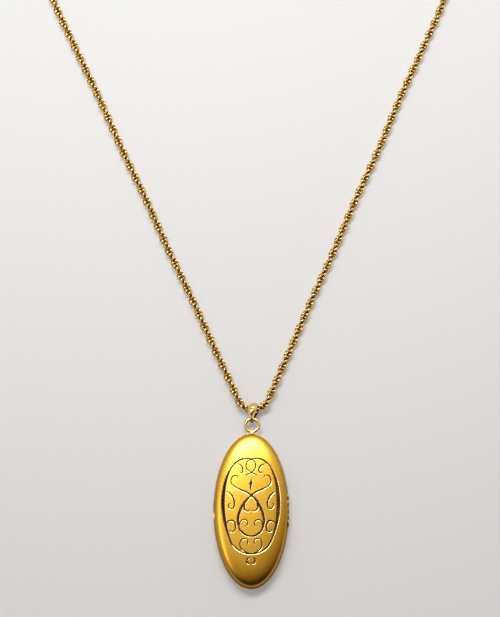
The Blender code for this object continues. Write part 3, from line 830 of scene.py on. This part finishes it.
def make_clasp(looks):
    """A spring ring: a bent tube with a sprung gate, and the rings that it closes on."""
    bright = looks["bright"]
    edge = ((0.0, 0.44), (0.02, 0.48), (0.06, CLASP_TUBE_R))
    body = arc_rod("clasp_body_tube", 75, 385, edge, bright, 120)
    eye = wire_ring(
        "eye", (-3.9, CLASP.y, CLASP.z), LOOP_R, LOOP_WIRE_R, *FLAT, [bright], 64, 16
    )
    bore = arc_rod("bore", 70, 220, ((0.0, 0.32),), bright, 60, 20)
    tip_bore = arc_rod("tip", 18, 31, ((0.0, 0.32),), bright, 6, 20)
    rings = []
    for i in range(25):
        turn = math.radians(86.5 + 61 * i / 24)
        out = Vector((math.cos(turn), math.sin(turn), 0))
        near, far = CLASP + (CLASP_R + 0.05) * out, CLASP + (CLASP_R + 1) * out
        half = Vector((0, 0, 0.2))
        rings.append([near - half, far - half, far + half, near + half])
    slot = mesh_object("slot", *loft(rings), [bright], turn_out=True)
    cut_and_join(body, [bore, tip_bore, slot], [eye])
    fit_out(body, "necklace", "bright_gold", "clasp_body")
    gate = arc_rod("clasp_gate_rod", 21, 128, ((0.0, 0.17), (0.04, 0.22), (0.1, 0.24)), bright, 48)
    turn = math.radians(92)
    out = Vector((math.cos(turn), math.sin(turn), 0))
    knob = straight_rod(
        "knob", CLASP + (CLASP_R + 0.02) * out, CLASP + (CLASP_R + 1.05) * out, 0.15, bright
    )
    cut_and_join(gate, [], [knob])
    fit_out(gate, "clasp_trigger", "bright_gold", "clasp_gate")
    jump = wire_ring(
        "jump_ring_wire", (JUMP_X, CLASP.y, CLASP.z), 1.0, 0.27, *UPRIGHT, [bright]
    )
    fit_out(jump, "necklace", "bright_gold", "jump_ring")
    tag = wire_ring("tag_ring_wire", (TAG_X, CLASP.y, TAG_Z), 1.3, 0.25, *UPRIGHT, [bright])
    fit_out(tag, "necklace", "bright_gold", "tag_ring")
    line = []
    for i in range(11 * 24 + 1):
        turn = math.radians(129 + 87 * i / (11 * 24))
        out = Vector((math.cos(turn), math.sin(turn), 0))
        coil = math.tau * i / 24
        offset = math.cos(coil) * out + math.sin(coil) * Vector((0, 0, 1))
        line.append(CLASP + CLASP_R * out + 0.2 * offset)
    rings = []
    for i, p in enumerate(line):
        ahead = (line[min(i + 1, len(line) - 1)] - line[max(i - 1, 0)]).normalized()
        turn = math.atan2(p.y - CLASP.y, p.x - CLASP.x)
        core = CLASP + CLASP_R * Vector((math.cos(turn), math.sin(turn), 0))
        across = (p - core).normalized()
        across = (across - across.dot(ahead) * ahead).normalized()
        up = ahead.cross(across)
        rings.append(
            [
                p + 0.05 * (math.cos(t) * across + math.sin(t) * up)
                for t in (math.tau * k / 8 for k in range(8))
            ]
        )
    spring = mesh_object("clasp_spring_coil", *loft(rings), [looks["steel"]], turn_out=True)
    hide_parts("clasp_spring")
    far = tuple(Vector(line[-1]) * MM)
    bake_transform(spring)
    return [
        make_end_cap("end_cap_left", -6.8, -5.9, looks),
        make_end_cap("end_cap_right", 5.0737, 4.1737, looks),
        jump, tag, body, gate, spring,
    ]


# ---------------------------------------------------------------- materials
def new_material(name):
    made = bpy.data.materials.new(name)
    made.use_nodes = True
    tree = made.node_tree
    shader = tree.nodes["Principled BSDF"]
    return made, tree, shader


def node(tree, kind, **values):
    made = tree.nodes.new(kind)
    for key, value in values.items():
        if hasattr(made, key):
            setattr(made, key, value)
        else:
            made.inputs[key].default_value = value
    return made


def noise(tree, scale, detail=3.0, rough=0.5, stretch=None):
    """Object-space noise, in features per metre."""
    place = tree.nodes.new("ShaderNodeTexCoord")
    source = place.outputs["Object"]
    if stretch:
        mapping = tree.nodes.new("ShaderNodeMapping")
        mapping.inputs["Scale"].default_value = stretch
        tree.links.new(source, mapping.inputs["Vector"])
        source = mapping.outputs["Vector"]
    made = tree.nodes.new("ShaderNodeTexNoise")
    made.inputs["Scale"].default_value = scale
    made.inputs["Detail"].default_value = detail
    made.inputs["Roughness"].default_value = rough
    tree.links.new(source, made.inputs["Vector"])
    return made.outputs["Fac"]


def ramp(tree, source, stops):
    made = tree.nodes.new("ShaderNodeValToRGB")
    while len(made.color_ramp.elements) < len(stops):
        made.color_ramp.elements.new(0.5)
    for element, (at, colour) in zip(made.color_ramp.elements, stops):
        element.position = at
        element.color = (*colour, 1.0)
    tree.links.new(source, made.inputs["Fac"])
    return made.outputs["Color"]


def spread(tree, source, low, high):
    """A value from 0 to 1 moved to the range low to high."""
    made = tree.nodes.new("ShaderNodeMapRange")
    made.inputs["To Min"].default_value = low
    made.inputs["To Max"].default_value = high
    tree.links.new(source, made.inputs["Value"])
    return made.outputs["Result"]


def bump(tree, shader, height, strength, distance):
    made = tree.nodes.new("ShaderNodeBump")
    made.inputs["Strength"].default_value = strength
    made.inputs["Distance"].default_value = distance
    tree.links.new(height, made.inputs["Height"])
    tree.links.new(made.outputs["Normal"], shader.inputs["Normal"])


def gold(name, light, dark, rough_low, rough_high, grain, grain_depth, painted_shade=None):
    """Gold with slow colour patches, uneven polish and a fine grain.

    The painted shade argument is (colour, height where it is full, height where it ends): painted shade
    that darkens the piece towards one height, near the seam or towards the floor.
    """
    made, tree, shader = new_material(name)
    patches = 260
    colour = ramp(tree, noise(tree, patches, 4.0, 0.6), ((0.3, dark), (0.7, light)))
    # painted shade: the base colour darkens towards one height of the piece
    if painted_shade:
        shade_colour, full, shade_ends = painted_shade
        place = tree.nodes.new("ShaderNodeTexCoord")
        split = tree.nodes.new("ShaderNodeSeparateXYZ")
        share = tree.nodes.new("ShaderNodeMapRange")
        share.interpolation_type = "SMOOTHSTEP"
        share.inputs["From Min"].default_value = full * MM
        share.inputs["From Max"].default_value = shade_ends * MM
        blend = tree.nodes.new("ShaderNodeMix")
        blend.data_type = "RGBA"
        blend.inputs["A"].default_value = (*shade_colour, 1)
        tree.links.new(place.outputs["Object"], split.inputs["Vector"])
        tree.links.new(split.outputs["Z"], share.inputs["Value"])
        tree.links.new(share.outputs["Result"], blend.inputs["Factor"])
        tree.links.new(colour, blend.inputs["B"])
        colour = blend.outputs["Result"]
    tree.links.new(colour, shader.inputs["Base Color"])
    polish = noise(tree, patches * 2.6, 3.0, 0.6)
    tree.links.new(spread(tree, polish, rough_low, rough_high), shader.inputs["Roughness"])
    shader.inputs["Metallic"].default_value = 1.0
    if grain_depth:
        bump(tree, shader, noise(tree, grain, 2.0, 0.6), 0.5, grain_depth)
    return made


def make_materials():
    looks = {}
    satin = ((1.0, 0.6, 0.075), (0.98, 0.55, 0.05), 0.24, 0.29, 9000, 0.0000015)
    looks["satin"] = gold("satin_gold", *satin)
    # painted shade on the cover's side near the seam, darkening its reflection of the floor
    looks["cover"] = gold("cover_gold", *satin, ((0.27, 0.1, 0.008), 3.0, 4.25))
    # painted shade on the back's standing rim, towards the seam, dulling its reflection of the floor
    looks["back"] = gold("back_gold", *satin, ((0.36, 0.25, 0.12), 2.1, 1.5))
    bright = ((1.0, 0.7, 0.24), (0.95, 0.6, 0.16), 0.08, 0.16, 2500, 0.000005)
    looks["bright"] = gold("bright_gold", *bright)
    # painted shade on the lower half of the ring wire, as of the shadowed floor just under it
    looks["ring"] = gold("ring_gold", *bright, ((0.16, 0.06, 0.02), 2.05, 2.34))
    # painted shade on the lower part of the bail, darker towards the ring
    looks["bail"] = gold("bail_gold", *bright, ((0.22, 0.09, 0.01), 2.3, 3.2))
    looks["inner"] = gold(
        "inner_gold", (1.0, 0.7, 0.24), (0.9, 0.56, 0.15), 0.14, 0.3, 3000, 0.00001
    )
    looks["pin"] = gold("pin_gold", (0.9, 0.6, 0.25), (0.7, 0.42, 0.14), 0.2, 0.4, 3000, 0.00001)
    looks["solder"] = gold(
        "solder_gold", (1.0, 0.6, 0.38), (0.9, 0.5, 0.28), 0.2, 0.38, 2500, 0.00002
    )
    looks["steel"] = gold(
        "spring_steel", (0.62, 0.61, 0.6), (0.4, 0.38, 0.36), 0.2, 0.4, 3000, 0.00001
    )
    looks["groove"] = make_groove_look()
    looks["chain"] = make_chain_look()
    looks["clear"] = make_window_look()
    looks["card"] = make_card_look()
    return looks


def make_groove_look():
    """Cut metal, coloured from the painted shade in the cut attribute: dark on the wall of each cut
    that faces away from the light, a painted cream highlight on the wall that faces it, with noise for
    grime.
    """
    made, tree, shader = new_material("engraved_gold")
    # this attribute holds the painted shade of each cut, not its depth
    deep = tree.nodes.new("ShaderNodeAttribute")
    deep.attribute_name = "cut"
    grime = noise(tree, 2600, 3.0, 0.7)
    mixed = tree.nodes.new("ShaderNodeMath")
    mixed.operation = "MULTIPLY_ADD"
    mixed.inputs[1].default_value = 0.3
    tree.links.new(grime, mixed.inputs[0])
    tree.links.new(deep.outputs["Fac"], mixed.inputs[2])
    # painted cream highlight at the low end of the ramp, painted shade at the high end
    colour = ramp(
        tree,
        mixed.outputs["Value"],
        (
            (0.4, (1.0, 0.84, 0.45)),
            (0.65, (0.85, 0.48, 0.08)),
            (0.85, (0.24, 0.09, 0.01)),
            (1.0, (0.05, 0.02, 0.003)),
        ),
    )
    tree.links.new(colour, shader.inputs["Base Color"])
    shader.inputs["Metallic"].default_value = 1.0
    shader.inputs["Roughness"].default_value = 0.3
    return made


def make_chain_look():
    """Polished wire, with painted shade between the links."""
    made, tree, shader = new_material("chain_gold")
    crevice_shade = tree.nodes.new("ShaderNodeAttribute")
    crevice_shade.attribute_name = "out"
    wear = noise(tree, 1500, 2.0, 0.6)
    mixed = tree.nodes.new("ShaderNodeMath")
    mixed.operation = "MULTIPLY_ADD"
    mixed.inputs[1].default_value = 0.25
    tree.links.new(wear, mixed.inputs[0])
    tree.links.new(crevice_shade.outputs["Fac"], mixed.inputs[2])
    # the ramp paints shade where a point lies close to the chain's middle, between the links
    colour = ramp(
        tree,
        mixed.outputs["Value"],
        ((0.5, (0.16, 0.05, 0.0)), (0.75, (0.85, 0.42, 0.05)), (1.0, (1.0, 0.77, 0.26))),
    )
    tree.links.new(colour, shader.inputs["Base Color"])
    shader.inputs["Metallic"].default_value = 1.0
    shader.inputs["Roughness"].default_value = 0.12
    return made


def make_window_look():
    """Old clear sheet, a little yellow, with fine scratches."""
    made, tree, shader = new_material("clear_sheet")
    shader.inputs["Base Color"].default_value = (0.98, 0.96, 0.88, 1)
    shader.inputs["Transmission Weight"].default_value = 1.0
    shader.inputs["IOR"].default_value = 1.3
    scratches = noise(tree, 900, 4.0, 0.8, stretch=(1.0, 0.12, 1.0))
    tree.links.new(spread(tree, scratches, 0.02, 0.16), shader.inputs["Roughness"])
    return made


def make_card_look():
    """Blank, slightly toned card."""
    made, tree, shader = new_material("photo_paper")
    tone = noise(tree, 240, 5.0, 0.65)
    colour = ramp(
        tree, tone, ((0.25, (0.62, 0.52, 0.36)), (0.5, (0.78, 0.7, 0.54)), (0.8, (0.84, 0.78, 0.64)))
    )
    tree.links.new(colour, shader.inputs["Base Color"])
    shader.inputs["Roughness"].default_value = 0.75
    bump(tree, shader, noise(tree, 6000, 3.0, 0.7), 0.4, 0.00002)
    return made


# ---------------------------------------------------------------- the chain
FLOOR_Z = 1.04
CHAIN_ENDS = (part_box("end_cap_left")[0].x / MM - 0.3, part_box("end_cap_right")[1].x / MM + 0.3)
CHAIN_ROUTE = (
    (CHAIN_ENDS[0], CLASP.y, CLASP.z),
    (-14.4, 205.8, 1.2),
    (-22.4, 204.0, FLOOR_Z),
    (-33.4, 198.4, FLOOR_Z),
    (-44.0, 189.0, FLOOR_Z),
    (-52.0, 176.2, FLOOR_Z),
    (-56.2, 161.6, FLOOR_Z),
    (-56.0, 148.6, FLOOR_Z),
    (-53.2, 138.9, FLOOR_Z),
    (-46.7, 124.5, FLOOR_Z),
    (-40.1, 110.3, FLOOR_Z),
    (-33.95, 96.2, FLOOR_Z),
    (-27.5, 82.4, FLOOR_Z),
    (-21.5, 68.7, FLOOR_Z),
    (-15.15, 55.2, FLOOR_Z),
    (-9.3, 42.0, FLOOR_Z),
    (-5.6, 34.0, 1.2),
    (-3.1, 28.3, 1.66),
    (-2.27, 27.1, 1.75),
    (-1.0, 26.25, 1.83),
    tuple(BAIL_PIVOT),
    (2.1, 26.25, 1.83),
    (3.37, 27.1, 1.75),
    (4.2, 28.3, 1.66),
    (6.65, 34.0, 1.2),
    (10.1, 42.0, FLOOR_Z),
    (15.7, 55.2, FLOOR_Z),
    (21.7, 68.7, FLOOR_Z),
    (27.4, 82.4, FLOOR_Z),
    (33.6, 96.2, FLOOR_Z),
    (39.4, 110.3, FLOOR_Z),
    (45.75, 124.5, FLOOR_Z),
    (51.9, 138.9, FLOOR_Z),
    (54.4, 148.8, FLOOR_Z),
    (54.6, 161.8, FLOOR_Z),
    (50.6, 176.4, FLOOR_Z),
    (42.8, 188.8, FLOOR_Z),
    (32.4, 198.0, FLOOR_Z),
    (21.4, 203.8, FLOOR_Z),
    (CHAIN_ENDS[1], CLASP.y, CLASP.z),
)
ROPE_PITCH = 7.4  # one full turn of the rope
LINK_SPACING = ROPE_PITCH / 9
LINK_R = 0.53
LINK_WIRE_R = 0.225
LINK_OFF = 0.4  # each link's middle, out from the chain's own middle
LINK_TILT = math.radians(-58)
LINK_STEPS = 15
WIRE_STEPS = 6


def along_line(line, step):
    """Places every step along a line, with the direction there."""
    line = np.asarray(line, float)
    walked = np.concatenate([[0], np.cumsum(np.linalg.norm(np.diff(line, axis=0), axis=1))])
    at = np.arange(step / 2, walked[-1], step)
    places = np.stack([np.interp(at, walked, line[:, k]) for k in range(3)], axis=1)
    ahead = np.stack([np.interp(at + 0.4, walked, line[:, k]) for k in range(3)], axis=1)
    behind = np.stack([np.interp(at - 0.4, walked, line[:, k]) for k in range(3)], axis=1)
    forward = ahead - behind
    return at, places, forward / np.linalg.norm(forward, axis=1, keepdims=True)


def make_chain(look, clasp):
    """A rope chain: round links in two strands that wind round each other."""
    line = catmull(CHAIN_ROUTE, 24)
    at, places, forward = along_line(line, LINK_SPACING)
    side = np.cross(forward, (0.0, 0.0, 1.0))
    side /= np.linalg.norm(side, axis=1, keepdims=True)
    lift = np.cross(side, forward)
    ring = math.tau * np.arange(LINK_STEPS) / LINK_STEPS
    wire = math.tau * np.arange(WIRE_STEPS) / WIRE_STEPS
    vertices, outness, count = [], [], 0
    for strand in range(2):
        turn = (math.tau * at / ROPE_PITCH + math.pi * strand)[:, None]
        out = np.cos(turn) * side + np.sin(turn) * lift
        round_ = np.cross(forward, out)
        # a link's own axis leans from the chain's direction towards the way its strand winds
        axis = math.cos(LINK_TILT) * forward + math.sin(LINK_TILT) * round_
        across = np.cross(axis, out)
        centre = places + LINK_OFF * out
        spoke = (
            np.cos(ring)[None, :, None] * out[:, None]
            + np.sin(ring)[None, :, None] * across[:, None]
        )
        middle = centre[:, None] + LINK_R * spoke
        skin = middle[:, :, None] + LINK_WIRE_R * (
            np.cos(wire)[None, None, :, None] * spoke[:, :, None]
            + np.sin(wire)[None, None, :, None] * axis[:, None, None]
        )
        away = skin - places[:, None, None]
        away -= (away * forward[:, None, None]).sum(-1, keepdims=True) * forward[:, None, None]
        outness.append(np.linalg.norm(away, axis=-1).reshape(-1))
        vertices.append(skin.reshape(-1, 3))
        count += len(at)
    i, j = np.meshgrid(np.arange(LINK_STEPS), np.arange(WIRE_STEPS), indexing="ij")
    i2, j2 = (i + 1) % LINK_STEPS, (j + 1) % WIRE_STEPS
    quad = np.stack(
        [i * WIRE_STEPS + j, i2 * WIRE_STEPS + j, i2 * WIRE_STEPS + j2, i * WIRE_STEPS + j2], -1
    ).reshape(-1, 4)
    faces = (np.arange(count)[:, None, None] * LINK_STEPS * WIRE_STEPS + quad).reshape(-1, 4)
    points = np.concatenate(vertices)
    points[:, 2] = np.maximum(points[:, 2], 0.01)
    chain = mesh_object("rope_chain_links", points, faces.tolist(), [look], 180)
    # the out attribute, each point's distance out from the chain's middle, drives the painted shade
    # between the links
    attribute = chain.data.attributes.new("out", "FLOAT", "POINT")
    attribute.data.foreach_set("value", np.concatenate(outness).astype(np.float32))
    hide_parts("rope_chain")
    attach(chain, "necklace")


# ---------------------------------------------------------------- stage
def make_stage():
    mesh = bpy.data.meshes.new("floor")
    half = 1.5
    mesh.from_pydata(
        [(-half, -half, 0), (half, -half, 0), (half, half, 0), (-half, half, 0)], [], [(0, 1, 2, 3)]
    )
    floor = bpy.data.objects.new("floor", mesh)
    bpy.context.scene.collection.objects.link(floor)
    made, tree, shader = new_material("pale_floor")
    paper = noise(tree, 900, 4.0, 0.6)
    tree.links.new(
        ramp(tree, paper, ((0.3, (0.52, 0.52, 0.52)), (0.7, (0.54, 0.54, 0.54)))),
        shader.inputs["Base Color"],
    )
    shader.inputs["Roughness"].default_value = 0.8
    # a little light of its own, as of a sheet lit through from below, keeps shadows faint
    shader.inputs["Emission Color"].default_value = (1.0, 0.98, 0.96, 1)
    shader.inputs["Emission Strength"].default_value = 0.2
    mesh.materials.append(made)


def area_light(name, towards, size, power, aim=(0, 0.07, 0), spread=100):
    """A soft box, in a direction from the middle of the locket."""
    data = bpy.data.lights.new(name, "AREA")
    data.shape = "RECTANGLE"
    data.size, data.size_y = size
    data.energy = power
    data.spread = math.radians(spread)
    light = bpy.data.objects.new(name, data)
    bpy.context.scene.collection.objects.link(light)
    light.location = Vector(towards).normalized() * 0.56
    light.rotation_euler = (Vector(aim) - light.location).to_track_quat("-Z", "Y").to_euler()


def make_world():
    """A soft room: bright beyond the chain and to the left, dim and warm towards the foot."""
    world = bpy.data.worlds.new("room")
    world.use_nodes = True
    tree = world.node_tree
    tree.nodes.clear()
    output = tree.nodes.new("ShaderNodeOutputWorld")
    background = tree.nodes.new("ShaderNodeBackground")
    place = tree.nodes.new("ShaderNodeTexCoord")
    lean = tree.nodes.new("ShaderNodeVectorMath")
    lean.operation = "DOT_PRODUCT"
    lean.inputs[1].default_value = (-0.17, 0.98, 0.0)
    tree.links.new(place.outputs["Generated"], lean.inputs[0])
    spot = tree.nodes.new("ShaderNodeMapRange")
    spot.inputs["From Min"].default_value = -1.0
    spot.inputs["From Max"].default_value = 1.0
    tree.links.new(lean.outputs["Value"], spot.inputs["Value"])
    colour = ramp(
        tree,
        spot.outputs["Result"],
        (
            (0.0, (0.002, 0.001, 0.0)),
            (0.25, (0.004, 0.002, 0.0)),
            (0.31, (0.03, 0.012, 0.005)),
            (0.36, (0.12, 0.06, 0.03)),
            (0.43, (0.22, 0.14, 0.08)),
            (0.5, (0.34, 0.27, 0.19)),
            (0.58, (0.48, 0.45, 0.4)),
            (0.66, (0.72, 0.72, 0.73)),
            (0.8, (0.78, 0.79, 0.8)),
            (0.93, (0.45, 0.44, 0.43)),
            (1.0, (0.35, 0.34, 0.33)),
        ),
    )
    split = tree.nodes.new("ShaderNodeSeparateXYZ")
    tree.links.new(place.outputs["Generated"], split.inputs["Vector"])
    low = tree.nodes.new("ShaderNodeMapRange")
    low.interpolation_type = "SMOOTHSTEP"
    low.inputs["From Min"].default_value = 0.48
    low.inputs["From Max"].default_value = 0.22
    tree.links.new(split.outputs["Z"], low.inputs["Value"])
    walls = tree.nodes.new("ShaderNodeMix")
    walls.data_type = "RGBA"
    walls.inputs["B"].default_value = (0.56, 0.54, 0.51, 1)
    tree.links.new(low.outputs["Result"], walls.inputs["Factor"])
    tree.links.new(colour, walls.inputs["A"])
    tree.links.new(walls.outputs["Result"], background.inputs["Color"])
    background.inputs["Strength"].default_value = 1.0
    tree.links.new(background.outputs["Background"], output.inputs["Surface"])
    bpy.context.scene.world = world


def make_light():
    make_world()
    area_light("far_box", (-0.05, 0.53, 0.85), (0.42, 0.13), 0.62, (0, 0.17, 0), 80)
    area_light("left_box", (-0.66, 0.02, 0.75), (0.24, 0.08), 0.04)
    bpy.context.scene.view_settings.view_transform = "Standard"


# ---------------------------------------------------------------- all of it
make_camera()
LOOKS = make_materials()
make_chain(LOOKS["chain"], make_clasp(LOOKS))
make_cover([LOOKS["cover"], LOOKS["groove"]])
make_back(LOOKS["back"])
make_inside(LOOKS)
make_hinge(LOOKS)
make_ring(LOOKS)
make_bail(LOOKS["bail"])
make_stage()
make_light()
